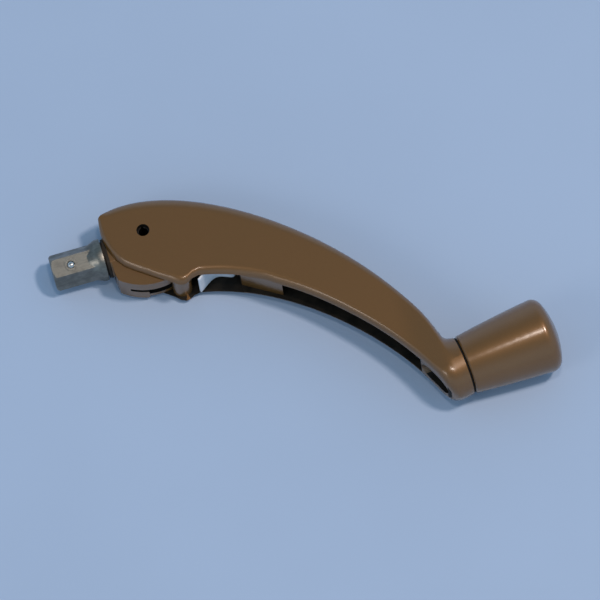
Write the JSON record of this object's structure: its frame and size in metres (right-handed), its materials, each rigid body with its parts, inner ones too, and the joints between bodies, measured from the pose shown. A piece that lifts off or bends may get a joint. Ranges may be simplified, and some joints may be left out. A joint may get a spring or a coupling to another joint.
{
  "type": "folding window crank handle",
  "caption": "Folding crank handle for a casement window operator: hex drive stud with a ball detent, pivoting hollow arm and free-turning knob.",
  "frame": {"origin": "centre of the drive stud's end face, on the drive axis", "axes": "+X along the drive axis, from the stud's end towards the hub; +Z along the pivot pin, square to the handle's plane of symmetry; +Y from the knob side towards the arm's back"},
  "size_m": [0.1126, 0.0718, 0.0184],
  "materials": {
    "bronze_paint": "semi-gloss bronze paint",
    "zinc_steel": "dull zinc plate",
    "plain_steel": "plain steel",
    "spring_steel": "bright spring steel",
    "ball_steel": "polished ball",
    "black_rubber": "matt black",
    "black_nylon": "matt black",
    "natural_nylon": "natural nylon"
  },
  "bodies": {
    "coupling": {"drive_hub": "bronze_paint", "drive_stud": "zinc_steel", "stud_pin": "plain_steel", "seal_ring": "black_rubber", "detent_sleeve": "zinc_steel", "detent_spring": "spring_steel"},
    "ball": {"detent_ball": "ball_steel"},
    "arm": {"handle_arm": "bronze_paint", "pivot_pin": "plain_steel", "hub_washer_upper": "black_nylon", "hub_washer_lower": "black_nylon", "leaf_spring": "spring_steel", "knob_axle": "plain_steel", "knob_washer": "black_nylon", "thrust_washer": "natural_nylon", "axle_ring": "spring_steel"},
    "knob": {"knob_bush": "natural_nylon", "knob_shell": "bronze_paint"}
  },
  "joints": [
    {"name": "detent_press", "type": "slide", "parent": "coupling", "child": "ball", "axis": [0, 0.165, -0.9863], "range_m": [0, 0.00045], "stiffness_N_per_m": 2000, "springref_m": -0.0008, "deforming": ["detent_spring"]},
    {"name": "arm_fold", "type": "hinge", "parent": "coupling", "child": "arm", "pos_m": [0.0239, 0.0021, 0], "axis": [0, 0, 1], "range_deg": [-57, 0]},
    {"name": "knob_spin", "type": "hinge", "parent": "arm", "child": "knob", "pos_m": [0.0886, -0.053, 0], "axis": [0.9954, 0.0958, 0], "continuous": true}
  ]
}
